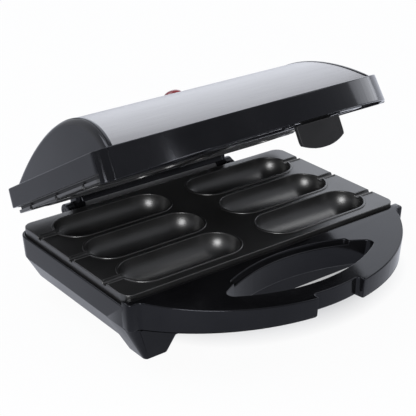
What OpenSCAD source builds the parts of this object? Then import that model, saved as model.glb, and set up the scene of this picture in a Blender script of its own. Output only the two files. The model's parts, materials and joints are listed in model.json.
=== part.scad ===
// Corn dog maker: a countertop cooker with two hinged, moulded plates.
// Lengths are in millimetres. The pieces are drawn with the lid shut, the middle of the lower
// plate's flat at the origin, the hinge at the back (+Y) and the handle at the front (-Y). The lid
// is then swung open, and the whole is set down on its feet.

/* [Cooking plates] */
// Width of each plate, left to right
plate_w = 250; // [242:1:280]
// Depth of each plate, front to back
plate_d = 139; // [136:1:160]
// Corner radius of the plates
plate_corner_r = 8; // [5:0.5:10]
// Thickness of the plate's flat
plate_t = 3; // [2.5:0.1:3.5]
// Height of the skirt round the plate
skirt_h = 9; // [8:0.5:10]
// Thickness of the skirt
skirt_t = 2.5; // [1.5:0.1:3]
// Gap between the two plates' flats when the lid is shut
plate_gap = 1.8; // [1.7:0.1:3]
// Radius of a mould's trough
mould_r = 17.8; // [15:0.1:18.4]
// Distance of the moulds from the plate's side edges
mould_edge = 15.3; // [15:0.1:20]
// Wall of a mould
mould_t = 2.2; // [1.5:0.1:2.5]
// Distance between the two columns of moulds
column_gap = 24.6; // [24:0.1:32]
// Distance between rows of moulds
row_pitch = 43; // [42:0.5:46]
// Width of the bead round a mould
bead_w = 2; // [1:0.1:2.4]
// Height of the bead
bead_h = 0.7; // [0.3:0.1:0.8]
// Radius of a stick groove
stick_r = 2.4; // [1.8:0.1:3]

/* [Heating] */
// Radius of the tubular heating element
heater_r = 3.25; // [2.8:0.05:3.4]
// Height of the sheet reflector behind each plate, from the plate's face
reflector_level = 20.8; // [20.7:0.1:23]
// Thickness of the sheet metal
sheet_t = 0.8; // [0.5:0.1:1.2]
// Distance of the plate's screws from its side edges
screw_edge = 14; // [13.6:0.1:14.5]
// Radius of the plate's screw bosses
boss_r = 3.4; // [3:0.1:3.6]
// Shank radius of the housing screws
screw_r = 1.75; // [1.4:0.05:1.8]
// Radius of the thermostat
thermostat_r = 8; // [6:0.5:9]

/* [Base] */
// Gap between a plate and the rim round it
plate_fit = 0.4; // [0.2:0.1:0.6]
// Thickness of the rim beside the plates
rim_t = 2.6; // [2.2:0.1:4]
// Wall of the moulded housings
wall = 2.2; // [1.8:0.1:2.6]
// How far the side rims lie below the plate's face
rim_drop = 6; // [4:0.5:7]
// How far the handle's top lies below the plate's face
handle_drop = 2.5; // [2:0.1:3.5]
// Depth of the upright side wall, from the plate's face
wall_drop = 24; // [23:0.5:28]
// Depth of the belly, from the plate's face
belly_drop = 39.5; // [38:0.5:44]
// Depth of the feet, from the plate's face
foot_drop = 51; // [48:0.5:60]
// Inward lean of the belly and feet, per unit of depth
belly_lean = 0.5; // [0.4:0.01:0.52]
// Share that the walls shrink to over their height
wall_taper = 0.989; // [0.985:0.001:0.995]
// Reach of the corners in front of the plate
corner_reach = 7; // [6:0.5:10]
// Reach of the base behind the plate
base_back_reach = 3.4; // [3.2:0.1:4]
// Rounding of the base's back corners
base_back_r = 12; // [8:0.5:12]
// Corner radius of the housings
body_corner_r = 8; // [5:0.5:10]
// Distance of the rear feet from the middle, left and right
rear_foot_x = 95; // [85:1:98]
// Distance of the rear feet behind the middle
rear_foot_y = 53; // [45:1:54]
// Radius of the rubber pads
pad_r = 6; // [4:0.5:6.5]
// Thickness of the rubber pads
pad_t = 2.2; // [1.6:0.1:3]

/* [Handle] */
// Reach of the half-round handle in front of the plate
handle_reach = 75.5; // [72:0.5:80]
// Flat at each front corner before the half-round starts
corner_flat = 8.6; // [8:0.1:12]
// Distance from the plate to the middle of the hand slot
slot_reach = 34; // [33:0.5:35]
// Length of the hand slot between its sharp tips
slot_l = 140; // [120:1:150]
// Width of the hand slot at its middle
slot_w = 44; // [36:0.5:45]
// Rounding of the slot's tips
slot_tip_r = 5; // [3:0.5:6]
// Width of the step along the slot's back edge
step_w = 4; // [2:0.5:4.5]
// Depth of that step
step_d = 3; // [1:0.5:4]
// Solid border round the slot
slot_border = 6.4; // [5:0.1:7]
// Height of the handle at its front edge
handle_front_h = 14.7; // [13:0.1:17]
// Width of the notch for the latch
notch_w = 41.2; // [41:0.1:46]
// Depth of the notch
notch_d = 6.4; // [6.2:0.1:8]

/* [Lid] */
// Opening of the lid at rest, in degrees
lid_open = 29.7; // [20:0.1:60]
// Height of the lid's side rims above the plate's face
lid_rim_rise = 7; // [5:0.5:8]
// How far the lid's handle dips below the lower plate's face
lid_handle_dip = 0.3; // [0.1:0.1:0.6]
// Reach of the lid behind the plate
lid_back_reach = 4.5; // [4:0.1:5]
// Height of the lid's deck
lid_top = 22; // [21.5:0.5:24]
// Height of the lid's handle at its front edge
lid_front_h = 17.5; // [17:0.5:20]
// Height of the cover's crest
crest_z = 52.8; // [51:0.1:56]
// Radius of the cover's front arc
front_arc_r = 110; // [104:1:120]
// Radius of the cover's back arc
back_arc_r = 92; // [88:1:96]
// Distance of the steel cover's ends from the plate's side edges, at the lid's deck
cover_edge = 9.5; // [9:0.1:10]
// Inward lean of the cover's ends, per unit of height
end_lean = 0.44; // [0.3:0.01:0.46]
// Thickness of the steel cover
cover_t = 0.8; // [0.5:0.1:1]
// Thickness of the end cheeks
cheek_t = 3.4; // [3.2:0.1:5]
// Rounding of the cheeks' outer edge
cheek_round = 4; // [2:0.1:5]

/* [Hinge] */
// Distance of the hinge line behind the plate
hinge_reach = 11.3; // [11.2:0.1:13]
// How far the hinge line lies below the plate's face
hinge_drop = 5.8; // [5:0.1:6.5]
// Place of the base's ears, left and right
ear_x = 77; // [60:1:100]
// Width of an ear or arm
ear_w = 8; // [6:0.5:10]
// Radius of the ears and arms
ear_r = 5.8; // [5:0.1:6.5]
// Radius of the hinge pins
hinge_pin_r = 2; // [1.5:0.1:2.5]
// Radius of the barrel between the arms
barrel_r = 5; // [4:0.1:5.5]
// How far the lid's apron hangs below the plate's face, in front of the barrel
apron_drop = 3; // [2:0.5:3.5]

/* [Latch] */
// Width of the latch
latch_w = 37; // [30:0.5:39]
// Thickness of the latch
latch_t = 3.3; // [2.5:0.1:3.6]
// How far the latch hangs below the plate's face
latch_hang = 20; // [19:0.5:24]
// Radius of the latch's lower edge
latch_edge_r = 36; // [30:1:60]
// Gap between the latch and the lid's handle
latch_gap = 2; // [1.8:0.1:3]
// Height of the latch pin above the plate's face
latch_pin_rise = 7; // [6.5:0.1:8]
// Radius of the latch pin
latch_pin_r = 1.5; // [1:0.1:1.8]
// Radius of the latch's barrel
latch_barrel_r = 3.4; // [2.8:0.1:3.6]

/* [Indicator] */
// Radius of the indicator lens
lens_r = 6.2; // [5:0.1:8]
// Height of the lens above the cover
lens_h = 5.6; // [3:0.1:6]
// Place of the lens behind the cover's crest
lens_y = 11; // [4:0.5:24]

/* [Hidden] */
$fn = 64;

// Clearances and small cuts
run_fit = 0.05;
side_fit = 0.4;
seat_fit = 0.15;
cut = 1;

// Plan of the housings
front_y = -(plate_d / 2 + handle_reach);
corner_y = -(plate_d / 2 + corner_reach);
base_back_y = plate_d / 2 + base_back_reach;
lid_back_y = plate_d / 2 + lid_back_reach;
half_w = plate_w / 2 + plate_fit + rim_t;
arc_half = half_w - corner_flat;
arc_rise = corner_y - front_y;
arc_r = (arc_half * arc_half + arc_rise * arc_rise) / (2 * arc_rise);
inner_fillet_r = 4;
well_w = plate_w + 2 * plate_fit;
well_d = plate_d + 2 * plate_fit;
front_wall_y = -(well_d / 2 + wall);
seat_w = 2;
seat_front_d = 1;
seat_back_d = 1.4;
seat_l = 5;
seat_y = 14;
seat_rib_t = 2;

// Hand slot and notch
slot_y = -(plate_d / 2 + slot_reach);
slot_rise = slot_w / 2;
slot_r = (slot_l * slot_l / 4 + slot_rise * slot_rise) / (2 * slot_rise);
notch_y = front_y + notch_d;
notch_lift = 1.2;
handle_rib_t = 1.8;
handle_rib_x = [36, 74];
step_half = 0.38 * slot_l;

// Moulds
mould_l = (plate_w - column_gap) / 2 - mould_edge;
column_x = column_gap / 2 + mould_l / 2;
mould_straight = mould_l - 2 * mould_r;
shell_r = mould_r + mould_t;
row_y = [-row_pitch, 0, row_pitch];
trough_margin = 1;

// Heating element, nested between the rows
heater_y = row_pitch / 2;
heater_nest = shell_r + heater_r + seat_fit;
heater_level = max(plate_t + heater_r + seat_fit,
                   sqrt(max(0, heater_nest * heater_nest - heater_y * heater_y)));
heater_bend_x = column_x + mould_straight / 2;
heater_turn_r = 8;
heater_end_x = -heater_bend_x - 2;
heater_tail = reflector_level + sheet_t + 2 - heater_level - heater_turn_r;
lead_hole_r = heater_r + 1.2;
clamp_t = 1.2;
clamp_w = 12;
clamp_level = heater_level + heater_r + seat_fit;
clamp_l = row_pitch + 4 * heater_r;
clamp_screw_r = 2;
cover_l = plate_w - 2 * cover_edge;
reflector_w = cover_l - 3.4;
reflector_d = plate_d - 19;
reflector_rim_l = reflector_w - 27.6;
reflector_rim_h = 4;
lead_cap_h = 2;
lead_cap_inset = 0.2;
lead_cap_taper = 1;
lead_pin_r = 1.1;
lead_pin_l = 4;
clamp_head_t = 2;
clamp_head_r = clamp_screw_r + 1.6;
clamp_screw_gap = 2;
thermostat_pad_h = clamp_w / 3;

// Plate screws
screw_x = plate_w / 2 - screw_edge;
screw_hole_r = screw_r + seat_fit;
screw_head_r = 3.3;
screw_head_t = 2.2;
screw_bite = 10;
recess_l = 3.6;
recess_w = 0.9;
recess_d = 0.8 * screw_head_t;
head_fit = 0.4;
post_r = 5;
floor_t = 2.4;
screw_sink = 5;
bracket_t = 2.8;
bracket_d = 16;
bracket_l = 10;

// Feet
foot_top_x = half_w * wall_taper;
foot_in_top_x = 74;
foot_in_bottom_x = 94;
foot_front_lean = 2.5;
foot_top_d = 37;
foot_bottom_d = 21;
foot_corner_r = 3;
rear_foot_top = 26;
rear_foot_bottom = 19;
belly_step = 0.3;
belly_front_lean = 0.1;
belly_back_lean = 0.35;
belly_wall = wall + 0.6;
pad_proud = 1;
pad_inset_x = 9.2;
pad_inset_y = 10.5;
stand_h = foot_drop + pad_proud;

// Cover's section: two arcs that meet at the crest, cut off by the leaning ends
front_c = crest_z - front_arc_r;
back_c = crest_z - back_arc_r;
cover_front_y = -sqrt(pow(front_arc_r, 2) - pow(lid_top - front_c, 2));
cover_back_y = sqrt(pow(back_arc_r, 2) - pow(lid_top - back_c, 2));
function end_x(z) = cover_l / 2 - end_lean * (z - lid_top);
deck_t = 2.4;
deck_lip = 5;
deck_front = 1.5;
cheek_lip = 0.6;
cheek_steps = 4;
ring_steps = 14;

// Hinge
hinge_y = plate_d / 2 + hinge_reach;
hinge_z = -hinge_drop;
arm_x = ear_x - ear_w - side_fit;
ear_root = 2;
ear_lift = 4;
apron_t = 2;
apron_inset = 0.8;
arm_top = lid_top - ear_lift;
barrel_l = 2 * (arm_x - ear_w / 2 - side_fit);
barrel_groove_w = 1.2;
barrel_groove_d = 0.5;
hinge_pin_l = 2 * ear_w + 6;

// Latch
latch_pin_inset = 7.6;
latch_pin_y = front_y + latch_pin_inset;
latch_back_y = front_y + latch_t;
latch_top = -lid_handle_dip - latch_gap;
latch_neck_w = 24;
latch_neck_h = 7;
latch_neck_d = 1;
latch_bed = 0.8;
notch_wall_drop = handle_drop + handle_front_h - notch_lift;
latch_hook_gap = 1;
latch_hook_drop = notch_wall_drop + latch_hook_gap;
latch_hook_h = 2;
latch_hook_slope = 1;
latch_hook_w = 14;
latch_hook_y = notch_y - side_fit;
latch_barrel_inset = 1;
latch_barrel_l = latch_w - 2 * latch_barrel_inset;
latch_boss_t = 4.5;
latch_boss_d = 8.8;
latch_boss_drop = 1.6;

// Indicator
lens_a = asin(lens_y / back_arc_r);
lens_p = [lens_y, back_c + back_arc_r * cos(lens_a)];
lens_flange = 1.4;
lens_stem_r = lens_r - lens_flange;
lens_stem_l = 6;
lamp_r = 3;
lamp_l = 12;
lamp_fit = 0.3;
lamp_sink = 2;
lamp_lead_l = 6;
lamp_lead_r = 0.4;
holder_wall = 2;

// Thermostat, fuse and terminals
thermostat_h = 9;
blade_w = 6;
blade_l = 2.4;
fuse_r = 2.3;
fuse_l = 12;
fuse_lead_l = 8;
fuse_lead_r = 0.6;
fuse_level = plate_t + seat_fit + fuse_r;
clip_w = 8;
clip_wing = 8;
block_pitch = 8;
block_wall = 3;
block_d = 16;
block_h = 8.5;
block_wire_r = 1.6;
block_wire_z = 4.5;
block_screw_r = 2;

// Cord gland
gland_r = 6;
gland_bore_r = 3.6;
gland_flange_r = 8;
gland_flange_t = 1.5;
gland_tail = 3;
gland_drop = (rim_drop + wall_drop) / 2;

// Rest place: swung open about the hinge line, middle of the footprint at the origin
function swung_y(y, z) = hinge_y + (y - hinge_y) * cos(lid_open) + (z - hinge_z) * sin(lid_open);
reach_back = max(hinge_y + ear_r, swung_y(lid_back_y * wall_taper, lid_top));
middle_y = (front_y + reach_back) / 2;

module set_down() {
    translate([0, -middle_y, stand_h]) children();
}

module swing_lid() {
    set_down()
        translate([0, hinge_y, hinge_z])
            rotate([-lid_open, 0, 0])
                translate([0, -hinge_y, -hinge_z]) children();
}

// Outlines

function arc_points(c, r, a0, a1, n) =
    [for (i = [0 : n]) let (a = a0 + (a1 - a0) * i / n) c + r * [cos(a), sin(a)]];

// Corner points of a rectangle with rounded corners, counter-clockwise
function round_rect(x0, x1, y0, y1, r, back_r, n = 8) = concat(
    arc_points([x1 - r, y0 + r], r, -90, 0, n),
    arc_points([x1 - back_r, y1 - back_r], back_r, 0, 90, n),
    arc_points([x0 + back_r, y1 - back_r], back_r, 90, 180, n),
    arc_points([x0 + r, y0 + r], r, 180, 270, n));

// Solid between two rings of as many points, counter-clockwise as seen from the second ring
module skin(first, second) {
    n = len(first);
    sides = [for (i = [0 : n - 1]) let (j = (i + 1) % n) each [[i + n, j + n, j], [i + n, j, i]]];
    ends = [for (i = [1 : n - 2]) each [[0, i, i + 1], [n, n + i + 1, n + i]]];
    polyhedron(concat(first, second), concat(ends, sides));
}

// The same between two flat outlines, the first one below
module loft(low, low_z, high, high_z) {
    skin([for (p = low) [p.x, p.y, low_z]], [for (p = high) [p.x, p.y, high_z]]);
}

module rounded(w, d, r) {
    square([w - 2 * r, d], center = true);
    square([w, d - 2 * r], center = true);
    for (x = [-1, 1], y = [-1, 1])
        translate([x * (w / 2 - r), y * (d / 2 - r)]) circle(r);
}

module box(x0, x1, y0, y1, z0, z1) {
    translate([x0, y0, z0]) cube([x1 - x0, y1 - y0, z1 - z0]);
}

// Outline that the base and the lid share: a rounded box with a half-round front
module plan(back_y, back_r) {
    offset(r = -inner_fillet_r) offset(r = inner_fillet_r) {
        polygon(round_rect(-half_w, half_w, corner_y, back_y, body_corner_r, back_r));
        intersection() {
            translate([0, front_y + arc_r]) circle(arc_r, $fn = 180);
            translate([-half_w, front_y]) square([2 * half_w, arc_rise + body_corner_r]);
        }
    }
}

// Hand slot: two shallow arcs that meet in rounded tips
module slot_outline() {
    offset(r = slot_tip_r) offset(r = -slot_tip_r) intersection() {
        translate([0, slot_y - slot_rise + slot_r]) circle(slot_r, $fn = 180);
        translate([0, slot_y + slot_rise - slot_r]) circle(slot_r, $fn = 180);
    }
}

// Hollow under the handle's skin, between its ribs
module handle_hollow() {
    difference() {
        offset(delta = -wall) plan(base_back_y, base_back_r);
        offset(delta = slot_border, $fn = 32) slot_outline();
        translate([-half_w, front_wall_y]) square([2 * half_w, base_back_y - front_wall_y + cut]);
        for (s = [-1, 1]) {
            translate([s * (arc_half + half_w) / 2, corner_y])
                square([half_w - arc_half, 4 * wall], center = true);
            for (x = handle_rib_x)
                translate([s * x, corner_y - handle_reach / 2])
                    square([handle_rib_t, handle_reach], center = true);
        }
        children();
    }
}

// Section of the cover above the height base, inset by t from its outside
module cover_section(t, base) {
    intersection() {
        translate([0, front_c]) circle(front_arc_r - t, $fn = 240);
        translate([-front_arc_r, base]) square([front_arc_r, front_arc_r]);
    }
    intersection() {
        translate([0, back_c]) circle(back_arc_r - t, $fn = 240);
        translate([0, base]) square(back_arc_r);
    }
}

// The same section as a ring of points, set out from the leaning end by the distance out
function cover_ring(t, base, out) =
    let (back_a = asin((base - back_c) / (back_arc_r - t)),
         front_a = 180 - asin((base - front_c) / (front_arc_r - t)),
         n = ring_steps,
         ring = concat(arc_points([0, back_c], back_arc_r - t, back_a, 90, n),
                       arc_points([0, front_c], front_arc_r - t, 90 + (front_a - 90) / n, front_a, n - 1)))
    [for (p = ring) [end_x(p.y) + out, p.x, p.y]];

// Lays a Y-Z section along X, from x0 to x1
module along_x(x0, x1) {
    translate([x0, 0, 0]) rotate([90, 0, 90]) linear_extrude(height = x1 - x0) children();
}

module rod_x(x0, x1, y, z, r) {
    translate([x0, y, z]) rotate([0, 90, 0]) cylinder(h = x1 - x0, r = r);
}

module both_sides() {
    children();
    mirror([1, 0, 0]) children();
}

module mirror_y() {
    children();
    mirror([0, 1, 0]) children();
}

module at_plate_screws() {
    for (x = [-1, 1], y = [-1, 1])
        translate([x * screw_x, y * heater_y, 0]) children();
}

// Cooking plate, face up, with its back to -Z

module mould(r) {
    for (x = [-1, 1]) translate([x * mould_straight / 2, 0, 0]) sphere(r, $fn = 96);
    rod_x(-mould_straight / 2, mould_straight / 2, 0, 0, r, $fn = 96);
}

module mould_outline(r) {
    square([mould_straight, 2 * r], center = true);
    for (x = [-1, 1]) translate([x * mould_straight / 2, 0]) circle(r);
}

module at_moulds() {
    for (s = [-1, 1], y = row_y) translate([s * column_x, y, 0]) children();
}

module cooking_plate() {
    difference() {
        union() {
            translate([0, 0, -plate_t])
                linear_extrude(height = plate_t) rounded(plate_w, plate_d, plate_corner_r);
            translate([0, 0, -skirt_h]) linear_extrude(height = skirt_h) difference() {
                rounded(plate_w, plate_d, plate_corner_r);
                rounded(plate_w - 2 * skirt_t, plate_d - 2 * skirt_t, plate_corner_r - skirt_t);
            }
            intersection() {
                at_moulds() mould(shell_r);
                box(-plate_w / 2, plate_w / 2, -plate_d / 2, plate_d / 2, -2 * shell_r, -plate_t / 2);
            }
            at_moulds() linear_extrude(height = bead_h) mould_outline(mould_r + bead_w);
            for (s = [-1, 1], y = row_y)
                rod_x(s > 0 ? column_x : -plate_w / 2 + skirt_t / 2,
                      s > 0 ? plate_w / 2 - skirt_t / 2 : -column_x, y, -stick_r / 2, stick_r + plate_t / 2);
            at_plate_screws() translate([0, 0, -reflector_level])
                cylinder(h = reflector_level - plate_t / 2, r = boss_r);
            translate([0, 0, -clamp_level])
                cylinder(h = clamp_level - plate_t / 2, r = clamp_w / 2 - trough_margin);
            translate([0, row_pitch, -plate_t - thermostat_pad_h])
                cylinder(h = thermostat_pad_h + plate_t / 2, r = thermostat_r - trough_margin);
        }
        at_moulds() mould(mould_r);
        for (y = row_y) {
            rod_x(-plate_w / 2 - cut, -column_x, y, 0, stick_r);
            rod_x(column_x, plate_w / 2 + cut, y, 0, stick_r);
        }
        box(-plate_w, plate_w, -plate_d, plate_d, bead_h, 2 * shell_r);
        at_plate_screws() translate([0, 0, -reflector_level - cut])
            cylinder(h = reflector_level - plate_t, r = screw_r + run_fit);
        translate([0, 0, -clamp_level - cut])
            cylinder(h = clamp_level - plate_t, r = clamp_screw_r + run_fit);
    }
}

module heater() {
    translate([0, 0, -heater_level]) {
        for (s = [-1, 1]) rod_x(heater_end_x, heater_bend_x, s * heater_y, 0, heater_r);
        translate([heater_bend_x, 0, 0]) rotate([0, 0, -90])
            rotate_extrude(angle = 180) translate([heater_y, 0]) circle(heater_r);
        for (s = [-1, 1]) translate([heater_end_x, s * heater_y, -heater_turn_r]) {
            rotate([90, 0, 0]) rotate([0, 0, 90])
                rotate_extrude(angle = 90) translate([heater_turn_r, 0]) circle(heater_r);
            translate([-heater_turn_r, 0, -heater_tail]) cylinder(h = heater_tail, r = heater_r);
        }
    }
}

module heater_ends() {
    end_z = -heater_level - heater_turn_r - heater_tail;
    for (s = [-1, 1]) translate([heater_end_x - heater_turn_r, s * heater_y, end_z]) {
        translate([0, 0, -lead_cap_h])
            cylinder(h = lead_cap_h, r1 = heater_r - lead_cap_taper, r2 = heater_r - lead_cap_inset);
        translate([0, 0, -lead_cap_h - lead_pin_l]) cylinder(h = lead_pin_l, r = lead_pin_r);
    }
}

module heater_clamp() {
    translate([0, 0, -clamp_level - clamp_t]) linear_extrude(height = clamp_t) difference() {
        square([clamp_w, clamp_l], center = true);
        circle(clamp_screw_r + run_fit);
    }
}

module clamp_screw() {
    translate([0, 0, -clamp_level - clamp_t - clamp_head_t]) cylinder(h = clamp_head_t, r = clamp_head_r);
    translate([0, 0, -clamp_level - clamp_t])
        cylinder(h = clamp_level - plate_t - clamp_screw_gap, r = clamp_screw_r);
}

module reflector() {
    translate([0, 0, -reflector_level - sheet_t]) difference() {
        union() {
            linear_extrude(height = sheet_t) rounded(reflector_w, reflector_d, plate_corner_r);
            for (s = [-1, 1]) translate([0, s * (reflector_d - sheet_t) / 2, (sheet_t - reflector_rim_h) / 2])
                cube([reflector_rim_l, sheet_t, reflector_rim_h + sheet_t], center = true);
        }
        at_plate_screws() translate([0, 0, -cut]) cylinder(h = sheet_t + 2 * cut, r = screw_hole_r);
        for (s = [-1, 1]) translate([heater_end_x - heater_turn_r, s * heater_y, -cut])
            cylinder(h = sheet_t + 2 * cut, r = lead_hole_r);
    }
}

module screw(length) {
    cylinder(h = length, r = screw_r);
    difference() {
        translate([0, 0, -screw_head_t]) cylinder(h = screw_head_t, r = screw_head_r);
        for (a = [0, 90]) rotate([0, 0, a]) cube([recess_l, recess_w, 2 * recess_d], center = true);
    }
}

// Base

module front_foot() {
    lean = belly_lean * (foot_drop - wall_drop);
    edge = corner_y * wall_taper;
    low_edge = edge + foot_front_lean;
    low = round_rect(foot_in_bottom_x, foot_top_x - lean, low_edge, low_edge + foot_bottom_d,
                     foot_corner_r, foot_corner_r);
    high = round_rect(foot_in_top_x, foot_top_x, edge, edge + foot_top_d, body_corner_r, body_corner_r);
    loft(low, -foot_drop, high, -wall_drop);
}

function square_ring(x, y, size) =
    round_rect(x - size / 2, x + size / 2, y - size / 2, y + size / 2, foot_corner_r, foot_corner_r);

module rear_foot() {
    loft(square_ring(rear_foot_x, rear_foot_y, rear_foot_bottom), -foot_drop,
         square_ring(rear_foot_x, rear_foot_y, rear_foot_top), -belly_drop + floor_t / 2);
}

module at_pads() {
    front_x = foot_top_x - belly_lean * (foot_drop - wall_drop) - pad_inset_x;
    front_pad_y = corner_y * wall_taper + foot_front_lean + pad_inset_y;
    for (s = [-1, 1]) {
        translate([s * front_x, front_pad_y, -stand_h]) children();
        translate([s * rear_foot_x, rear_foot_y, -stand_h]) children();
    }
}

function belly_ring(z, inset) =
    let (x = half_w * wall_taper - belly_lean * (z - wall_drop) - inset,
         y0 = corner_y * wall_taper + belly_front_lean * (z - wall_drop) + inset,
         y1 = base_back_y * wall_taper - belly_back_lean * (z - wall_drop) - inset)
    round_rect(-x, x, y0, y1, body_corner_r - inset / 2, base_back_r - inset / 2);

module base_tub() {
    translate([0, 0, -skirt_h]) linear_extrude(height = skirt_h + cut)
        rounded(well_w, well_d, plate_corner_r + plate_fit);
    low = round_rect(-well_w / 2 + seat_w, well_w / 2 - seat_w, -well_d / 2 + seat_front_d,
                     well_d / 2 - seat_back_d, plate_corner_r, plate_corner_r + seat_w);
    loft(low, -wall_drop, low, -skirt_h + cut / 10);
    floor_z = belly_drop - floor_t;
    loft(belly_ring(floor_z, belly_wall), -floor_z, low, -wall_drop + cut / 10);
}

module base_seats() {
    for (y = row_y) both_sides()
        box(well_w / 2 - seat_l, well_w / 2 - seat_fit, y + seat_y, y + seat_y + seat_rib_t,
            -wall_drop, -skirt_h);
    for (x = [-column_x, 0, column_x]) mirror_y()
        box(x - seat_rib_t / 2, x + seat_rib_t / 2, well_d / 2 - seat_l, well_d / 2 - seat_fit,
            -wall_drop, -skirt_h);
}

module ear() {
    rod_x(ear_x - ear_w / 2, ear_x + ear_w / 2, hinge_y, hinge_z, ear_r);
    along_x(ear_x - ear_w / 2, ear_x + ear_w / 2) polygon([
        [base_back_y - ear_root, hinge_z + ear_r / 2], [hinge_y, hinge_z + ear_r], [hinge_y + ear_r, hinge_z],
        [base_back_y - ear_root / 2, -wall_drop + ear_lift], [base_back_y - ear_root, -wall_drop + ear_lift]]);
}

module base_housing() color([0.06, 0.06, 0.065]) set_down() {
    slope = atan((wall_drop - handle_drop - handle_front_h) / (corner_y - front_y));
    difference() {
        union() {
            difference() {
                union() {
                    translate([0, 0, -wall_drop])
                        linear_extrude(height = wall_drop - handle_drop, scale = 1 / wall_taper)
                            scale(wall_taper) plan(base_back_y, base_back_r);
                    loft(belly_ring(belly_drop, belly_step), -belly_drop,
                         belly_ring(wall_drop, belly_step), -wall_drop + cut / 10);
                    both_sides() {
                        front_foot();
                        rear_foot();
                    }
                }
                base_tub();
                translate([0, corner_y, -wall_drop]) rotate([-slope, 0, 0])
                    box(-half_w, half_w, 2 * front_y, 0, -wall_drop, 0);
                translate([0, 0, -wall_drop - cut])
                    linear_extrude(height = wall_drop + cut - handle_drop - deck_t)
                        handle_hollow() translate([-notch_w / 2 - wall, front_y - cut])
                            square([notch_w + 2 * wall, notch_d + 2 * slot_border]);
                translate([0, 0, -foot_drop]) linear_extrude(height = foot_drop) slot_outline();
                translate([0, 0, -handle_drop - step_d]) linear_extrude(height = step_d + cut)
                    intersection() {
                        translate([0, slot_y + slot_rise - slot_r]) circle(slot_r + step_w, $fn = 180);
                        translate([-step_half, slot_y]) square([2 * step_half, slot_w]);
                    }
                translate([0, 0, -wall_drop]) linear_extrude(height = wall_drop) difference() {
                    translate([-notch_w / 2, front_y - cut]) square([notch_w, notch_d + slot_border]);
                    translate([0, front_y + arc_r]) circle(arc_r - notch_d, $fn = 180);
                }
                box(-notch_w / 2, notch_w / 2, front_y - cut, slot_y - slot_rise / 2,
                    -wall_drop, -notch_wall_drop);
                box(-half_w - cut, half_w + cut, front_wall_y + wall / 2, base_back_y + cut, -rim_drop, cut);
                at_pads() translate([0, 0, -cut]) cylinder(h = pad_t + cut, r = pad_r + run_fit);
            }
            base_seats();
            both_sides() ear();
            at_plate_screws() translate([0, 0, -belly_drop + floor_t / 2])
                cylinder(h = belly_drop - floor_t / 2 - reflector_level - sheet_t, r = post_r);
        }
        both_sides() rod_x(ear_x - ear_w, ear_x + ear_w, hinge_y, hinge_z, hinge_pin_r + run_fit);
        at_plate_screws() {
            translate([0, 0, -belly_drop - cut]) cylinder(h = screw_sink + cut, r = screw_head_r + head_fit);
            translate([0, 0, -belly_drop]) cylinder(h = belly_drop, r = screw_hole_r);
        }
        translate([0, base_back_y + cut, -gland_drop]) rotate([90, 0, 0])
            cylinder(h = 4 * base_back_reach, r = gland_r + run_fit);
    }
}

module foot_pads() color([0.1, 0.1, 0.1]) set_down() {
    at_pads() cylinder(h = pad_t, r = pad_r);
}

module lower_plate() color([0.09, 0.09, 0.09]) set_down() {
    cooking_plate();
}

module lower_heater() color([0.45, 0.45, 0.46]) set_down() {
    heater();
}

module lower_heater_ends() color([0.9, 0.88, 0.82]) set_down() {
    heater_ends();
}

module lower_heater_clamp() color([0.7, 0.7, 0.7]) set_down() {
    heater_clamp();
}

module lower_clamp_screw() color([0.7, 0.7, 0.72]) set_down() {
    clamp_screw();
}

module lower_reflector() color([0.8, 0.8, 0.8]) set_down() {
    reflector();
}

module thermostat() color([0.85, 0.82, 0.72]) set_down() {
    translate([0, row_pitch, -plate_t - thermostat_pad_h - thermostat_h]) {
        cylinder(h = thermostat_h, r = thermostat_r);
        for (s = [-1, 1]) translate([s * thermostat_r / 2, 0, -blade_l / 2])
            cube([sheet_t, blade_w, blade_l], center = true);
    }
}

module thermal_fuse() color([0.8, 0.75, 0.5]) set_down() {
    translate([0, -row_pitch, -fuse_level]) rotate([90, 0, 0]) {
        cylinder(h = fuse_l, r = fuse_r, center = true);
        cylinder(h = fuse_l + 2 * fuse_lead_l, r = fuse_lead_r, center = true);
    }
}

module fuse_clip() color([0.72, 0.72, 0.72]) set_down() {
    clip_r = fuse_r + seat_fit;
    translate([0, -row_pitch, -fuse_level]) rotate([90, 0, 0])
        linear_extrude(height = clip_w, center = true) difference() {
            union() {
                circle(clip_r + sheet_t);
                translate([-clip_wing, clip_r - sheet_t]) square([2 * clip_wing, sheet_t]);
            }
            circle(clip_r);
            translate([-clip_wing, clip_r]) square([2 * clip_wing, 2 * sheet_t]);
            translate([-fuse_r, 0]) square([2 * fuse_r, clip_r + sheet_t]);
        }
}

module terminal_block() color([0.93, 0.92, 0.88]) set_down() {
    translate([0, row_pitch + block_d / 4, -belly_drop + floor_t]) difference() {
        translate([0, 0, block_h / 2])
            cube([3 * block_pitch + 2 * block_wall, block_d, block_h], center = true);
        for (i = [-1, 0, 1]) translate([i * block_pitch, 0, block_wire_z]) {
            rotate([90, 0, 0]) cylinder(h = block_d + 2 * cut, r = block_wire_r, center = true);
            cylinder(h = block_h, r = block_screw_r);
        }
    }
}

module base_screws() color([0.6, 0.6, 0.62]) set_down() {
    at_plate_screws() translate([0, 0, -belly_drop + screw_sink])
        screw(belly_drop - screw_sink - reflector_level + screw_bite);
}

module cord_gland() color([0.08, 0.08, 0.08]) set_down() {
    outside = base_back_y * (1 - (1 - wall_taper) * (gland_drop - handle_drop) / (wall_drop - handle_drop));
    translate([0, outside + gland_flange_t + side_fit, -gland_drop]) rotate([90, 0, 0]) difference() {
        union() {
            cylinder(h = gland_flange_t, r = gland_flange_r);
            cylinder(h = gland_flange_t + base_back_reach + gland_tail, r = gland_r);
        }
        translate([0, 0, -cut]) cylinder(h = 4 * base_back_reach, r = gland_bore_r);
    }
}

module hinge_pins() color([0.75, 0.75, 0.77]) set_down() {
    both_sides() rod_x(ear_x + ear_w / 2 - hinge_pin_l, ear_x + ear_w / 2, hinge_y, hinge_z, hinge_pin_r);
}

// Lid

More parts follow.
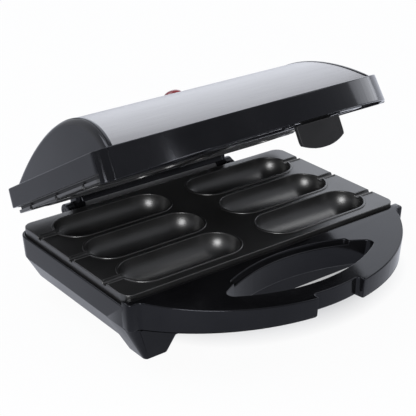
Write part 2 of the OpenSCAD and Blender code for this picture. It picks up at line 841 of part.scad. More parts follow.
module arm() {
    rod_x(arm_x - ear_w / 2, arm_x + ear_w / 2, hinge_y, hinge_z, ear_r);
    along_x(arm_x - ear_w / 2, arm_x + ear_w / 2) polygon([
        [hinge_y - ear_r, hinge_z], [hinge_y + ear_r, hinge_z], [lid_back_y + ear_root / 2, arm_top],
        [lid_back_y - ear_root, arm_top], [lid_back_y - ear_root, plate_gap]]);
}

// Leaning end cheek with a rounded outer edge, in steps that share their rings
module cheek() {
    base = lid_top - deck_t / 2;
    function step_out(k) = cheek_lip + (cheek_t - cheek_lip) * sin(90 * k / cheek_steps);
    function step_in(k) = cheek_round * (1 - cos(90 * k / cheek_steps));
    skin(cover_ring(0, base, 0), cover_ring(0, base, cheek_lip));
    for (k = [0 : cheek_steps - 1])
        skin(cover_ring(step_in(k), base, step_out(k)), cover_ring(step_in(k + 1), base, step_out(k + 1)));
}

module lid_hollow() {
    seat_z = plate_gap + skirt_h;
    translate([0, 0, -cut])
        linear_extrude(height = seat_z + cut) rounded(well_w, well_d, plate_corner_r + plate_fit);
    translate([0, 0, seat_z - cut / 10]) linear_extrude(height = lid_top - deck_t - seat_z + cut / 10)
        rounded(well_w - 2 * seat_w, well_d - 2 * deck_front, plate_corner_r);
    box(-cover_l / 2, cover_l / 2, -well_d / 2 + deck_front, cover_back_y - deck_lip,
        lid_top - deck_t - cut, lid_top + cut);
}

module lid_seats() {
    seat_z = plate_gap + skirt_h;
    seat_top = lid_top - deck_t / 2;
    for (y = row_y) both_sides()
        box(well_w / 2 - seat_l, well_w / 2 - seat_front_d, y + seat_y, y + seat_y + seat_rib_t,
            seat_z, seat_top);
    for (x = [-column_x, column_x]) mirror_y()
        box(x - seat_rib_t / 2, x + seat_rib_t / 2, well_d / 2 - seat_l, well_d / 2 - seat_front_d,
            seat_z, seat_top);
}

module latch_boss() {
    x0 = latch_barrel_l / 2 + side_fit;
    box(x0, x0 + latch_boss_t, latch_pin_y - latch_boss_d / 2, latch_pin_y + latch_boss_d / 2,
        -latch_boss_drop, lid_front_h - deck_t);
}

module lid_housing() color([0.06, 0.06, 0.065]) swing_lid() {
    slope = atan((lid_top + lid_handle_dip - lid_front_h) / (cover_front_y - front_y));
    shelf_z = plate_gap + reflector_level + sheet_t;
    difference() {
        union() {
            difference() {
                translate([0, 0, -lid_handle_dip])
                    linear_extrude(height = lid_top + lid_handle_dip, scale = wall_taper)
                        plan(lid_back_y, body_corner_r);
                lid_hollow();
                translate([0, cover_front_y, lid_top]) rotate([slope, 0, 0])
                    box(-half_w, half_w, 2 * front_y, 0, 0, lid_top);
                translate([0, 0, -lid_handle_dip - cut])
                    linear_extrude(height = lid_front_h - lid_handle_dip - deck_t + cut) handle_hollow();
                translate([0, 0, -cut]) linear_extrude(height = lid_top + 2 * cut) slot_outline();
                box(-half_w - cut, half_w + cut, front_wall_y + wall / 2, lid_back_y + cut,
                    -cut, lid_rim_rise);
            }
            lid_seats();
            box(-arm_x, arm_x, lid_back_y - apron_inset - apron_t, lid_back_y - apron_inset,
                -apron_drop, lid_rim_rise + ear_lift);
            both_sides() {
                arm();
                cheek();
                latch_boss();
                for (s = [-1, 1])
                    translate([cover_l / 2 - bracket_l, s * heater_y - bracket_d / 2, shelf_z])
                        cube([bracket_l + cut, bracket_d, bracket_t]);
            }
        }
        both_sides() rod_x(arm_x - ear_w, arm_x + ear_w, hinge_y, hinge_z, hinge_pin_r + run_fit);
        rod_x(-latch_w, latch_w, latch_pin_y, latch_pin_rise, latch_pin_r + run_fit);
        at_plate_screws() {
            translate([0, 0, shelf_z - cut]) cylinder(h = bracket_t + 2 * cut, r = screw_hole_r);
            translate([0, 0, shelf_z + bracket_t])
                cylinder(h = screw_head_t + head_fit, r = screw_head_r + head_fit);
        }
    }
}

module lid_cover() color([0.72, 0.72, 0.74]) swing_lid() {
    foot_x = end_x(lid_top) - seat_fit;
    crest_x = end_x(crest_z + cut) - seat_fit;
    difference() {
        intersection() {
            along_x(-cover_l / 2, cover_l / 2) difference() {
                cover_section(0, lid_top);
                cover_section(cover_t, lid_top - cut);
            }
            rotate([90, 0, 0]) linear_extrude(height = 2 * front_arc_r, center = true) polygon([
                [-foot_x, lid_top], [foot_x, lid_top], [crest_x, crest_z + cut], [-crest_x, crest_z + cut]]);
        }
        at_lens() cylinder(h = 4 * cover_t, r = lens_stem_r + run_fit, center = true);
    }
}

// Back of the upper plate faces up
module lid_plate_place() {
    swing_lid() translate([0, 0, plate_gap]) mirror([0, 0, 1]) children();
}

module upper_plate() color([0.09, 0.09, 0.09]) lid_plate_place() cooking_plate();

module upper_heater() color([0.45, 0.45, 0.46]) lid_plate_place() heater();

module upper_heater_ends() color([0.9, 0.88, 0.82]) lid_plate_place() heater_ends();

module upper_heater_clamp() color([0.7, 0.7, 0.7]) lid_plate_place() heater_clamp();

module upper_clamp_screw() color([0.7, 0.7, 0.72]) lid_plate_place() clamp_screw();

module upper_reflector() color([0.8, 0.8, 0.8]) lid_plate_place() reflector();

module lid_screws() color([0.6, 0.6, 0.62]) lid_plate_place() {
    at_plate_screws() translate([0, 0, -reflector_level - sheet_t - bracket_t])
        screw(sheet_t + bracket_t + screw_bite);
}

module hinge_barrel() color([0.1, 0.1, 0.105]) swing_lid() {
    difference() {
        rod_x(-barrel_l / 2, barrel_l / 2, hinge_y, hinge_z, barrel_r);
        rod_x(-barrel_l, barrel_l, hinge_y, hinge_z, hinge_pin_r + run_fit);
        for (x = [-1 / 3, 0, 1 / 3])
            translate([x * barrel_l, hinge_y, hinge_z]) rotate([0, 90, 0]) difference() {
                cylinder(h = barrel_groove_w, r = barrel_r + cut, center = true);
                cylinder(h = barrel_groove_w + cut, r = barrel_r - barrel_groove_d, center = true);
            }
    }
}

module at_lens() {
    translate([0, lens_p.x, lens_p.y]) rotate([-lens_a, 0, 0]) children();
}

module indicator_lens() color([0.75, 0.02, 0.02, 0.9]) swing_lid() at_lens() {
    cap_r = (lens_r * lens_r + lens_h * lens_h) / (2 * lens_h);
    intersection() {
        translate([0, 0, lens_h - cap_r]) sphere(cap_r);
        cylinder(h = 2 * lens_h, r = lens_r);
    }
    difference() {
        translate([0, 0, -lens_stem_l]) cylinder(h = lens_stem_l, r = lens_stem_r);
        translate([0, 0, -lens_stem_l - cut]) cylinder(h = lens_stem_l, r = lamp_r + lamp_fit);
    }
}

module lamp_holder() color([0.9, 0.9, 0.88]) swing_lid() at_lens() {
    translate([0, 0, -lens_stem_l]) difference() {
        cylinder(h = lens_stem_l - 2 * cover_t, r = lens_stem_r + holder_wall);
        translate([0, 0, -cut]) cylinder(h = lens_stem_l + cut, r = lens_stem_r + run_fit);
    }
}

module indicator_lamp() color([0.95, 0.6, 0.4]) swing_lid() at_lens() {
    translate([0, 0, -lamp_l - lamp_sink]) cylinder(h = lamp_l, r = lamp_r);
    for (s = [-1, 1]) translate([s * lamp_r / 3, 0, -lamp_l - lamp_sink - lamp_lead_l])
        cylinder(h = lamp_lead_l, r = lamp_lead_r);
}

module latch_pin() color([0.75, 0.75, 0.77]) swing_lid() {
    half = latch_barrel_l / 2 + side_fit + latch_boss_t;
    rod_x(-half, half, latch_pin_y, latch_pin_rise, latch_pin_r);
}

// Face of the latch, straight at the sides and curved below
module latch_face() {
    intersection() {
        translate([-latch_w / 2, -latch_hang]) square([latch_w, latch_hang + latch_top]);
        translate([0, latch_edge_r - latch_hang]) circle(latch_edge_r, $fn = 180);
    }
}

module latch_clip() color([0.12, 0.12, 0.12]) swing_lid() {
    difference() {
        union() {
            intersection() {
                translate([0, front_y + arc_r, -latch_hang]) difference() {
                    cylinder(h = latch_hang, r = arc_r, $fn = 180);
                    translate([0, 0, -cut])
                        cylinder(h = latch_hang + 2 * cut, r = arc_r - latch_t, $fn = 180);
                }
                rotate([90, 0, 0]) linear_extrude(height = -2 * front_y) latch_face();
            }
            rod_x(-latch_barrel_l / 2, latch_barrel_l / 2, latch_pin_y, latch_pin_rise, latch_barrel_r);
            along_x(-latch_neck_w / 2, latch_neck_w / 2) polygon([
                [latch_back_y - latch_bed, latch_top - side_fit],
                [latch_back_y - latch_bed, latch_top - latch_neck_h],
                [latch_back_y + latch_neck_d, latch_top],
                [latch_pin_y + latch_barrel_r - side_fit, latch_pin_rise],
                [latch_pin_y - latch_barrel_r + side_fit, latch_pin_rise],
                [latch_back_y + latch_bed, latch_top + latch_gap - side_fit]]);
            along_x(-latch_hook_w / 2, latch_hook_w / 2) polygon([
                [latch_back_y - latch_bed, -latch_hook_drop], [latch_hook_y, -latch_hook_drop],
                [latch_hook_y - latch_hook_slope, -latch_hook_drop - latch_hook_h],
                [latch_back_y - latch_bed, -latch_hook_drop - latch_hook_h]]);
        }
        rod_x(-latch_w, latch_w, latch_pin_y, latch_pin_rise, latch_pin_r + run_fit);
    }
}

base_housing();
foot_pads();
lower_plate();
lower_heater();
lower_heater_ends();
lower_heater_clamp();
lower_clamp_screw();
lower_reflector();
thermostat();
thermal_fuse();
fuse_clip();
terminal_block();
base_screws();
cord_gland();
hinge_pins();
lid_housing();
lid_cover();
upper_plate();
upper_heater();
upper_heater_ends();
upper_heater_clamp();
upper_clamp_screw();
upper_reflector();
lid_screws();
hinge_barrel();
indicator_lens();
lamp_holder();
indicator_lamp();
latch_pin();
latch_clip();
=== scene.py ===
import json
import math
import bmesh
import bpy
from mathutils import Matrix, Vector

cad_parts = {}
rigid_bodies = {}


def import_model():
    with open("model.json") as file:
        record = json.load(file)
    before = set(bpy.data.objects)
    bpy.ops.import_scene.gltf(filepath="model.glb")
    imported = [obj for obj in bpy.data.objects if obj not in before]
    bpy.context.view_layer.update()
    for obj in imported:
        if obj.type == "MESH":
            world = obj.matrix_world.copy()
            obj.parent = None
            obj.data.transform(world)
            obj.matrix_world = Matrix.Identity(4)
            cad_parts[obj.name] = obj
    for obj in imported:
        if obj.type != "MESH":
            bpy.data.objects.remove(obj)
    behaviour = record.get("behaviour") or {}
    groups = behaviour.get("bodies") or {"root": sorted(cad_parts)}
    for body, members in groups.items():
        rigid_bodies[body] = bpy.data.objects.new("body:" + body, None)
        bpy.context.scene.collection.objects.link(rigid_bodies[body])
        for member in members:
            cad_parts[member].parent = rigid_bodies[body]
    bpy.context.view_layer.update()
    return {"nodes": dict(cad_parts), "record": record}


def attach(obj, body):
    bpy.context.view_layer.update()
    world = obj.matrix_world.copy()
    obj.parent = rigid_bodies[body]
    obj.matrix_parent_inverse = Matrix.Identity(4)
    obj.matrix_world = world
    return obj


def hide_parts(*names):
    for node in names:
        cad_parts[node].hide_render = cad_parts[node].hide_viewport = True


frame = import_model()
nodes = frame["nodes"]
slots = {part["node"]: part["material_slot"] for part in frame["record"]["subparts"]}
bodies = frame["record"]["behaviour"]["bodies"]
body_of = {node: body for body, members in bodies.items() for node in members}


# Helpers for finishes: every finish is a node tree on Object coordinates

cloud_scale = 30.0


def new_finish(name):
    finish = bpy.data.materials.new(name)
    finish.use_nodes = True
    tree = finish.node_tree
    return finish, tree, tree.nodes["Principled BSDF"]


def noise(tree, scale, detail=3.0, stretch=(1.0, 1.0, 1.0)):
    place = tree.nodes.new("ShaderNodeTexCoord")
    turn = tree.nodes.new("ShaderNodeMapping")
    turn.inputs["Scale"].default_value = stretch
    cloud = tree.nodes.new("ShaderNodeTexNoise")
    cloud.inputs["Scale"].default_value = scale
    cloud.inputs["Detail"].default_value = detail
    tree.links.new(place.outputs["Object"], turn.inputs["Vector"])
    tree.links.new(turn.outputs["Vector"], cloud.inputs["Vector"])
    return cloud.outputs["Fac"]


def spread(tree, fac, low, high, start=0.3, end=0.7):
    reach = tree.nodes.new("ShaderNodeMapRange")
    reach.inputs["From Min"].default_value = start
    reach.inputs["From Max"].default_value = end
    reach.inputs["To Min"].default_value = low
    reach.inputs["To Max"].default_value = high
    tree.links.new(fac, reach.inputs["Value"])
    return reach.outputs["Result"]


def tint(tree, fac, first, second, start=0.35, end=0.65):
    ramp = tree.nodes.new("ShaderNodeValToRGB")
    ramp.color_ramp.elements[0].position = start
    ramp.color_ramp.elements[1].position = end
    ramp.color_ramp.elements[0].color = (*first, 1)
    ramp.color_ramp.elements[1].color = (*second, 1)
    tree.links.new(fac, ramp.inputs["Fac"])
    return ramp.outputs["Color"]


def bumps(tree, shader, fac, depth, strength=0.3):
    bump = tree.nodes.new("ShaderNodeBump")
    bump.inputs["Strength"].default_value = strength
    bump.inputs["Distance"].default_value = depth
    tree.links.new(fac, bump.inputs["Height"])
    tree.links.new(bump.outputs["Normal"], shader.inputs["Normal"])


def plain_finish(name, first, second, rough, grain, depth, metallic=0.0, level=0.5):
    finish, tree, shader = new_finish(name)
    shader.inputs["Metallic"].default_value = metallic
    shader.inputs["Specular IOR Level"].default_value = level
    fine = noise(tree, grain)
    wide = noise(tree, cloud_scale)
    tree.links.new(tint(tree, wide, first, second), shader.inputs["Base Color"])
    tree.links.new(spread(tree, wide, *rough), shader.inputs["Roughness"])
    bumps(tree, shader, fine, depth)
    return finish


# Finishes of the housings, the plates and the cover

def gloss_moulding():
    finish = plain_finish("gloss_black_moulding", (0.003, 0.003, 0.0034), (0.005, 0.005, 0.0056),
                          (0.09, 0.14), 900.0, 0.00001, level=0.2)
    shader = finish.node_tree.nodes["Principled BSDF"]
    shader.inputs["Specular Tint"].default_value = (0.86, 0.89, 1.0, 1)
    return finish


def brushed_steel():
    finish, tree, shader = new_finish("brushed_steel")
    shader.inputs["Metallic"].default_value = 1.0
    lines = noise(tree, 60.0, 6.0, (0.4, 60.0, 60.0))
    fine = noise(tree, 200.0, 4.0, (0.3, 40.0, 40.0))
    greys = tint(tree, lines, (0.295, 0.29, 0.29), (0.345, 0.34, 0.34))
    tree.links.new(greys, shader.inputs["Base Color"])
    tree.links.new(spread(tree, fine, 0.27, 0.37), shader.inputs["Roughness"])
    bumps(tree, shader, fine, 0.00001, 0.15)
    return finish


gloss_black = gloss_moulding()
satin_black = plain_finish("satin_black_moulding", (0.006, 0.006, 0.0065), (0.01, 0.01, 0.0105),
                           (0.42, 0.52), 2600.0, 0.00006, level=0.2)
non_stick = plain_finish("non_stick_coating", (0.01, 0.01, 0.01), (0.016, 0.016, 0.016),
                         (0.29, 0.36), 1300.0, 0.00012, level=0.8)
steel = brushed_steel()


# Finishes of the small pieces and of what lies inside

sheet_metal = plain_finish("aluminium_sheet", (0.7, 0.7, 0.7), (0.8, 0.8, 0.8),
                           (0.3, 0.45), 500.0, 0.00002, 1.0)
zinc = plain_finish("zinc_plate", (0.6, 0.6, 0.62), (0.72, 0.72, 0.74),
                    (0.2, 0.32), 700.0, 0.00001, 1.0)
sheath = plain_finish("element_sheath", (0.16, 0.15, 0.15), (0.28, 0.26, 0.25),
                      (0.4, 0.6), 600.0, 0.00003, 1.0)
brass = plain_finish("brass_case", (0.6, 0.45, 0.2), (0.72, 0.56, 0.28),
                     (0.25, 0.4), 500.0, 0.00001, 1.0)
dark_pin = plain_finish("blackened_pin", (0.012, 0.012, 0.013), (0.024, 0.024, 0.025),
                        (0.3, 0.4), 700.0, 0.00001, level=0.2)
hinge_grey = plain_finish("hinge_grey_moulding", (0.05, 0.05, 0.052), (0.07, 0.07, 0.072),
                          (0.3, 0.4), 900.0, 0.00002)
insulator = plain_finish("white_insulator", (0.78, 0.75, 0.68), (0.86, 0.83, 0.77),
                         (0.5, 0.7), 800.0, 0.00003)
nylon = plain_finish("off_white_nylon", (0.8, 0.79, 0.74), (0.86, 0.85, 0.8),
                     (0.35, 0.5), 900.0, 0.00002)
rubber = plain_finish("dark_rubber", (0.02, 0.02, 0.02), (0.035, 0.035, 0.035),
                      (0.7, 0.85), 1500.0, 0.00005)
red_lens = plain_finish("red_lens", (0.16, 0.0, 0.004), (0.26, 0.002, 0.006),
                        (0.08, 0.14), 400.0, 0.00001)
clear_lamp = plain_finish("clear_lamp", (0.8, 0.4, 0.25), (0.9, 0.5, 0.3),
                          (0.05, 0.1), 400.0, 0.00001)

finishes = {"housing": gloss_black, "latch": satin_black, "plate": non_stick, "steel": steel,
            "sheet": sheet_metal, "element": sheath, "insulator": insulator, "terminal": nylon,
            "brass": brass, "screw": zinc, "gland": rubber, "rubber": rubber, "lens": red_lens,
            "lamp": clear_lamp}
for node, slot in slots.items():
    nodes[node].data.materials.clear()
    nodes[node].data.materials.append(finishes[slot])
for node in ("hinge_pins", "latch_pin"):
    nodes[node].data.materials[0] = dark_pin
# The hinge barrel takes a lighter grey than the other black mouldings
nodes["hinge_barrel"].data.materials[0] = hinge_grey


# Tools for pieces that start as a copy of a solid: merged, picked at and rounded

merge_near = 0.00002
flat_below = math.radians(1.0)
smooth_below = math.radians(32.0)
edge_from = math.radians(28.0)
corner_from = math.radians(25.0)
corner_steps = 6
facing = 0.9


def put_down():
    bpy.ops.mesh.select_all(action="DESELECT")
    bpy.ops.object.mode_set(mode="OBJECT")


def take_up(node, name):
    bpy.ops.object.select_all(action="DESELECT")
    piece = bpy.data.objects.new(name, nodes[node].data.copy())
    bpy.context.scene.collection.objects.link(piece)
    bpy.context.view_layer.objects.active = piece
    piece.select_set(True)
    if piece.data.has_custom_normals:
        bpy.ops.mesh.customdata_custom_splitnormals_clear()
    bpy.ops.object.mode_set(mode="EDIT")
    bpy.ops.mesh.select_all(action="SELECT")
    bpy.ops.mesh.remove_doubles(threshold=merge_near)
    bpy.ops.mesh.dissolve_limited(angle_limit=flat_below)
    bpy.ops.mesh.vert_connect_concave()
    put_down()
    return piece


def pick_faces(piece, fits):
    bpy.ops.mesh.select_mode(type="FACE")
    bpy.ops.mesh.select_all(action="DESELECT")
    shape = bmesh.from_edit_mesh(piece.data)
    for face in shape.faces:
        face.select_set(fits(face))
    bmesh.update_edit_mesh(piece.data)


def round_picked(piece, fits, radius, steps):
    bpy.ops.object.mode_set(mode="EDIT")
    bpy.ops.mesh.select_mode(type="EDGE")
    shape = bmesh.from_edit_mesh(piece.data)
    for edge in shape.edges:
        edge.select_set(fits(edge))
    bmesh.update_edit_mesh(piece.data)
    bpy.ops.mesh.bevel(offset=radius, segments=steps, affect="EDGES", loop_slide=False)
    put_down()


def round_edges(piece, radius, steps, sharp=edge_from):
    def is_outer(edge):
        return edge.is_convex and edge.calc_face_angle(0.0) > sharp
    round_picked(piece, is_outer, radius, steps)


def round_corners(piece, fits, radius):
    def is_corner(edge):
        first, second = (vert.co for vert in edge.verts)
        return edge.calc_face_angle(0.0) > corner_from and fits(first, second)
    round_picked(piece, is_corner, radius, corner_steps)


def stand_for(piece, node):
    bpy.ops.object.shade_smooth_by_angle(angle=smooth_below)
    even = piece.modifiers.new("even_shading", "WEIGHTED_NORMAL")
    even.keep_sharp = True
    bpy.ops.object.modifier_apply(modifier=even.name)
    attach(piece, body_of[node])
    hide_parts(node)


# Pieces that only have their outer edges rounded

moulding_edge = 0.0009
casting_edge = 0.0006
small_edge = 0.0004
sheet_edge = 0.0002
trim_edge = 0.0003
full_steps = 3
few_steps = 2

for node, name, radius, steps in (
        ("lid_housing", "lid_shell", moulding_edge, full_steps),
        ("lid_cover", "steel_cover", sheet_edge, few_steps),
        ("lower_plate", "lower_cooking_plate", casting_edge, full_steps),
        ("hinge_barrel", "hinge_sleeve", small_edge, few_steps),
        ("foot_pads", "rubber_feet", small_edge, few_steps),
        ("cord_gland", "cord_bush", small_edge, few_steps)):
    piece = take_up(node, name)
    round_edges(piece, radius, steps)
    stand_for(piece, node)


# How the open lid lies: its hinge, and its own up and forward directions

lid_open = math.radians(29.7)
lid_hinge = Vector((0, 0.10932, 0.0462))
lid_up = Vector((0, math.sin(lid_open), math.cos(lid_open)))
lid_front = Vector((0, -math.cos(lid_open), math.sin(lid_open)))


# Upper plate: a shallow groove runs round its edge, just below the lid's rim, painted black as
# painted shade of a deeper gap

gap_low = 0.01
gap_high = 0.0123
gap_deep = 0.0018
plate_half_w = 0.125
plate_half_d = 0.0695
plate_mid = 0.0808
edge_zone = 0.95


def on_plate_edge(face):
    place = face.calc_center_median() - lid_hinge
    height = place.dot(lid_up)
    forward = place.dot(lid_front) - plate_mid
    sideways = Vector((place.x, 0, 0)) + lid_front * forward
    far = max(abs(place.x) / plate_half_w, abs(forward) / plate_half_d)
    return gap_low < height < gap_high and far > edge_zone and face.normal.dot(sideways) > 0


upper_plate = take_up("upper_plate", "upper_cooking_plate")
round_edges(upper_plate, casting_edge, full_steps)
bpy.ops.object.mode_set(mode="EDIT")
bpy.ops.mesh.select_mode(type="FACE")
for height in (gap_low, gap_high):
    bpy.ops.mesh.select_all(action="SELECT")
    bpy.ops.mesh.bisect(plane_co=lid_hinge + lid_up * height, plane_no=lid_up)
pick_faces(upper_plate, on_plate_edge)
bpy.ops.mesh.extrude_region_shrink_fatten(TRANSFORM_OT_shrink_fatten={"value": -gap_deep})
bpy.ops.mesh.select_more()
# Painted shade: the groove's faces and their neighbours take the black satin finish
upper_plate.data.materials.append(satin_black)
upper_plate.active_material_index = 1
bpy.ops.object.material_slot_assign()
put_down()
stand_for(upper_plate, "upper_plate")


# Base shell: the corners of the handle's notch and of the slot's step are rounded first

notch_side_x = 0.0206
notch_back_y = -0.1085
notch_tall = 0.008
notch_corner_r = 0.003
step_end_x = 0.0532
step_end_y = -0.0607
step_tall = 0.001
step_corner_r = 0.002
near_x = 0.0006
near_y = 0.0012


def at_corner(point, corner_x, corner_y):
    return abs(abs(point.x) - corner_x) < near_x and abs(point.y - corner_y) < near_y


def notch_corner(first, second):
    both = all(at_corner(point, notch_side_x, notch_back_y) for point in (first, second))
    return both and abs(first.z - second.z) > notch_tall


def step_corner(first, second):
    both = all(at_corner(point, step_end_x, step_end_y) for point in (first, second))
    return both and abs(first.z - second.z) > step_tall


base_shell = take_up("base_housing", "base_shell")
round_corners(base_shell, notch_corner, notch_corner_r)
round_corners(base_shell, step_corner, step_corner_r)
round_edges(base_shell, moulding_edge, full_steps)
stand_for(base_shell, "base_housing")


# Front corners of the base's rim, beside the handle's ends: one lug modelled, then mirrored

lug_out_x = 0.12745
lug_in_x = 0.1165
lug_front_y = -0.04755
lug_back_y = -0.0385
lug_top = 0.0494
lug_waist = 0.04
lug_low = 0.028
lug_flare = (0.0002, -0.0004, 0)
lug_down = (-0.00085, 0.0005, lug_low - lug_waist)
lug_corner_r = 0.0036
lug_size = (lug_out_x - lug_in_x, lug_back_y - lug_front_y, lug_top - lug_waist)
lug_mid = ((lug_out_x + lug_in_x) / 2, (lug_back_y + lug_front_y) / 2, (lug_top + lug_waist) / 2)
near_lug_edge = 0.002


def outer_lug_edge(first, second):
    out = min(first.x, second.x) > lug_out_x - near_lug_edge
    return out and max(first.y, second.y) < lug_front_y + near_lug_edge


bpy.ops.object.select_all(action="DESELECT")
bpy.ops.mesh.primitive_cube_add(size=1.0)
right_lug = bpy.context.object
right_lug.name = "right_rim_corner"
bpy.ops.object.mode_set(mode="EDIT")
bpy.ops.mesh.select_mode(type="FACE")
bpy.ops.mesh.select_all(action="SELECT")
bpy.ops.transform.resize(value=lug_size, center_override=(0, 0, 0))
bpy.ops.transform.translate(value=lug_mid)
pick_faces(right_lug, lambda face: face.normal.z > facing)
bpy.ops.transform.translate(value=lug_flare)
pick_faces(right_lug, lambda face: face.normal.z < -facing)
bpy.ops.mesh.extrude_region_move(TRANSFORM_OT_translate={"value": lug_down})
put_down()
right_lug.data.materials.append(gloss_black)
round_corners(right_lug, outer_lug_edge, lug_corner_r)
round_edges(right_lug, moulding_edge, full_steps)
bpy.ops.object.shade_smooth_by_angle(angle=smooth_below)
bpy.ops.object.duplicate()
left_lug = bpy.context.object
left_lug.name = "left_rim_corner"
bpy.ops.object.mode_set(mode="EDIT")
bpy.ops.mesh.select_all(action="SELECT")
bpy.ops.transform.resize(value=(-1, 1, 1), center_override=(0, 0, 0))
bpy.ops.mesh.normals_make_consistent(inside=False)
put_down()
for lug in (right_lug, left_lug):
    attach(lug, "base")


# Latch tab: its two lower corners are rounded in the tab's own plane first

tab_corner_r = 0.0028
tab_side_x = 0.012
tab_corner_zone = 0.012
straight_through = 0.95

latch_tab = take_up("latch_clip", "latch_tab")
tab_low = min(vert.co.z for vert in latch_tab.data.vertices)


def lower_tab_corner(first, second):
    through = abs((second - first).normalized().dot(lid_front)) > straight_through
    return through and abs(first.x) > tab_side_x and first.z < tab_low + tab_corner_zone


round_corners(latch_tab, lower_tab_corner, tab_corner_r)
round_edges(latch_tab, casting_edge, full_steps)
stand_for(latch_tab, "latch_clip")


# Black edging over the two leaning ends of the steel cover

end_lean = 0.44
edging_w = 0.0016
edging_rise = 0.0004
edging_from = math.radians(40.0)

for name, side in (("left_cover_edging", -1), ("right_cover_edging", 1)):
    edging = take_up("lid_cover", name)
    lean = (side, end_lean * math.sin(lid_open), end_lean * math.cos(lid_open))
    outward = Vector(lean).normalized()
    reach = max(outward.dot(vert.co) for vert in edging.data.vertices)
    inner_line = outward * (reach - edging_w)
    bpy.ops.object.mode_set(mode="EDIT")
    bpy.ops.mesh.select_all(action="SELECT")
    bpy.ops.mesh.bisect(plane_co=inner_line, plane_no=outward, use_fill=True, clear_inner=True)
    bpy.ops.mesh.select_all(action="SELECT")
    bpy.ops.transform.shrink_fatten(value=edging_rise)
    put_down()
    round_edges(edging, trim_edge, few_steps, edging_from)
    bpy.ops.object.shade_smooth_by_angle(angle=smooth_below)
    edging.data.materials.clear()
    edging.data.materials.append(gloss_black)
    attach(edging, "lid")


# Red lens: a low dome on a thin rim, seated on the cover's crest

lens_seat = (0.0, 0.0774, 0.1311)
lens_lean = math.radians(36.6)
lens_r = 0.0079
lens_h = 0.0049
lens_rim = 0.0007
dome_cut = 0.05
rim_down = (0, 0, -dome_cut - lens_rim / lens_h)

bpy.ops.object.select_all(action="DESELECT")
bpy.ops.mesh.primitive_uv_sphere_add(segments=48, ring_count=24, radius=1.0)
lens = bpy.context.object
lens.name = "lens_dome"
bpy.ops.object.mode_set(mode="EDIT")
bpy.ops.mesh.select_all(action="SELECT")
bpy.ops.mesh.bisect(plane_co=(0, 0, dome_cut), plane_no=(0, 0, 1), clear_inner=True)
bpy.ops.mesh.extrude_region_move(TRANSFORM_OT_translate={"value": rim_down})
bpy.ops.mesh.edge_face_add()
bpy.ops.mesh.select_all(action="SELECT")
bpy.ops.transform.resize(value=(lens_r, lens_r, lens_h), center_override=(0, 0, 0))
bpy.ops.mesh.normals_make_consistent(inside=False)
put_down()
lens.rotation_euler = (-lens_lean, 0, 0)
lens.location = lens_seat
bpy.ops.object.transform_apply(location=True, rotation=True, scale=True)
lens.data.materials.append(red_lens)
round_edges(lens, sheet_edge, few_steps)
stand_for(lens, "indicator_lens")


# Floor: pale paper that looks white to the camera, with painted shade under the base: there the
# glow fades in an oval, so the lit paper's real shadow shows through

floor_size = 8.0
floor_top = -0.0002
paper_grey = (0.62, 0.63, 0.67, 1)
cool_glow = (0.87, 0.9, 1.0)
white = (1, 1, 1)
open_glow = 0.95
painted_shade_glow = 0.42
mirror_glow = 0.5
painted_shade_place = (0.03, -0.01, 0)
painted_shade_size = (0.12, 0.08, 1)
painted_shade_edge = 0.4


def reckon(tree, operation, first, second):
    step = tree.nodes.new("ShaderNodeMath")
    step.operation = operation
    tree.links.new(first, step.inputs[0])
    tree.links.new(second, step.inputs[1])
    return step.outputs["Value"]


# Painted shade: an oval under the base where the paper's glow to the camera fades
def painted_shade_under_base(tree):
    place = tree.nodes.new("ShaderNodeTexCoord")
    under = tree.nodes.new("ShaderNodeMapping")
    under.vector_type = "TEXTURE"
    under.inputs["Location"].default_value = painted_shade_place
    under.inputs["Scale"].default_value = painted_shade_size
    shade = tree.nodes.new("ShaderNodeTexGradient")
    shade.gradient_type = "SPHERICAL"
    tree.links.new(place.outputs["Object"], under.inputs["Vector"])
    tree.links.new(under.outputs["Vector"], shade.inputs["Vector"])
    return spread(tree, shade.outputs["Fac"], open_glow, painted_shade_glow, 0.0, painted_shade_edge)


def white_paper():
    paper, tree, shader = new_finish("white_paper")
    shader.inputs["Base Color"].default_value = paper_grey
    shader.inputs["Roughness"].default_value = 0.9
    ray = tree.nodes.new("ShaderNodeLightPath").outputs
    seen = reckon(tree, "MULTIPLY", ray["Is Camera Ray"], painted_shade_under_base(tree))
    mirrored = spread(tree, ray["Is Glossy Ray"], 0.0, mirror_glow, 0.0, 1.0)
    shown = reckon(tree, "MAXIMUM", mirrored, seen)
    glow = tree.nodes.new("ShaderNodeEmission")
    tree.links.new(tint(tree, ray["Is Camera Ray"], cool_glow, white), glow.inputs["Color"])
    mix = tree.nodes.new("ShaderNodeMixShader")
    tree.links.new(reckon(tree, "MAXIMUM", shown, ray["Is Transmission Ray"]), mix.inputs["Fac"])
    tree.links.new(shader.outputs["BSDF"], mix.inputs[1])
    tree.links.new(glow.outputs["Emission"], mix.inputs[2])
    tree.links.new(mix.outputs["Shader"], tree.nodes["Material Output"].inputs["Surface"])
    return paper


bpy.ops.object.select_all(action="DESELECT")
bpy.ops.mesh.primitive_plane_add(size=floor_size, location=(0, 0, floor_top))
floor = bpy.context.object
floor.name = "floor"
floor.data.materials.append(white_paper())


# Studio: white to the camera, and dimmer on the side the camera stands at

cool_sky = (0.91, 0.93, 1.0)
far_side_level = 0.75
camera_side_level = 0.3
camera_side = (-0.5, -0.85, 0.0)

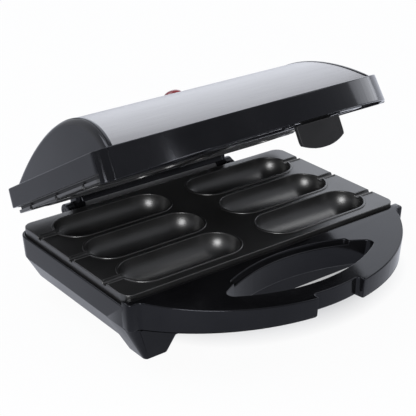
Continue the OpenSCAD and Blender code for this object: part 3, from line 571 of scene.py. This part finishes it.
studio = bpy.data.worlds.new("studio")
bpy.context.scene.world = studio
studio.use_nodes = True
tree = studio.node_tree
sky = tree.nodes["Background"]
ray = tree.nodes.new("ShaderNodeLightPath").outputs
toward = tree.nodes.new("ShaderNodeTexCoord")
along = tree.nodes.new("ShaderNodeVectorMath")
along.operation = "DOT_PRODUCT"
along.inputs[1].default_value = camera_side
tree.links.new(toward.outputs["Generated"], along.inputs[0])
dim = spread(tree, along.outputs["Value"], far_side_level, camera_side_level, 0.1, 0.9)
level = tree.nodes.new("ShaderNodeMapRange")
level.inputs["To Max"].default_value = 1.0
tree.links.new(dim, level.inputs["To Min"])
tree.links.new(ray["Is Camera Ray"], level.inputs["Value"])
tree.links.new(level.outputs["Result"], sky.inputs["Strength"])
tree.links.new(tint(tree, ray["Is Camera Ray"], cool_sky, white), sky.inputs["Color"])


# Softboxes round the maker

cool_lamp = (0.92, 0.94, 1.0)
cooler_lamp = (0.88, 0.92, 1.0)
low_aim = (0, 0, 0.05)
high_aim = (0, 0, 0.1)


def softbox(name, place, aim, size, power, colour=white):
    light = bpy.data.lights.new(name, "AREA")
    light.shape = "RECTANGLE"
    light.size, light.size_y = size
    light.energy = power
    light.color = colour
    box = bpy.data.objects.new(name, light)
    bpy.context.scene.collection.objects.link(box)
    box.location = place
    way = box.location - Vector(aim)
    box.rotation_euler = way.to_track_quat("Z", "Y").to_euler()


softbox("top_softbox", (-0.35, 0.75, 1.2), low_aim, (0.8, 0.8), 7.2, cool_lamp)
softbox("front_softbox", (-0.76, -0.7, 0.39), low_aim, (0.5, 0.4), 10.5)
softbox("right_softbox", (1.3, 0.05, 0.28), high_aim, (0.6, 0.5), 1.6, cool_lamp)
softbox("edge_softbox", (0.6, -0.32, 0.9), low_aim, (0.5, 0.5), 2.0)
softbox("back_softbox", (0.85, 1.05, 0.6), low_aim, (0.9, 1.2), 3.2, cooler_lamp)


# Camera at the photograph's angle

camera_tilt = math.radians(65.08)
camera_turn = math.radians(-37.41)

scene = bpy.context.scene
scene.view_settings.view_transform = "Standard"
eye = bpy.data.cameras.new("camera")
eye.sensor_width = 36.0
eye.lens = 102.52
eye.clip_start = 0.05
eye.clip_end = 20.0
camera = bpy.data.objects.new("camera", eye)
scene.collection.objects.link(camera)
camera.location = (-0.49524, -0.61390, 0.43303)
camera.rotation_euler = (camera_tilt, 0.0, camera_turn)
scene.camera = camera
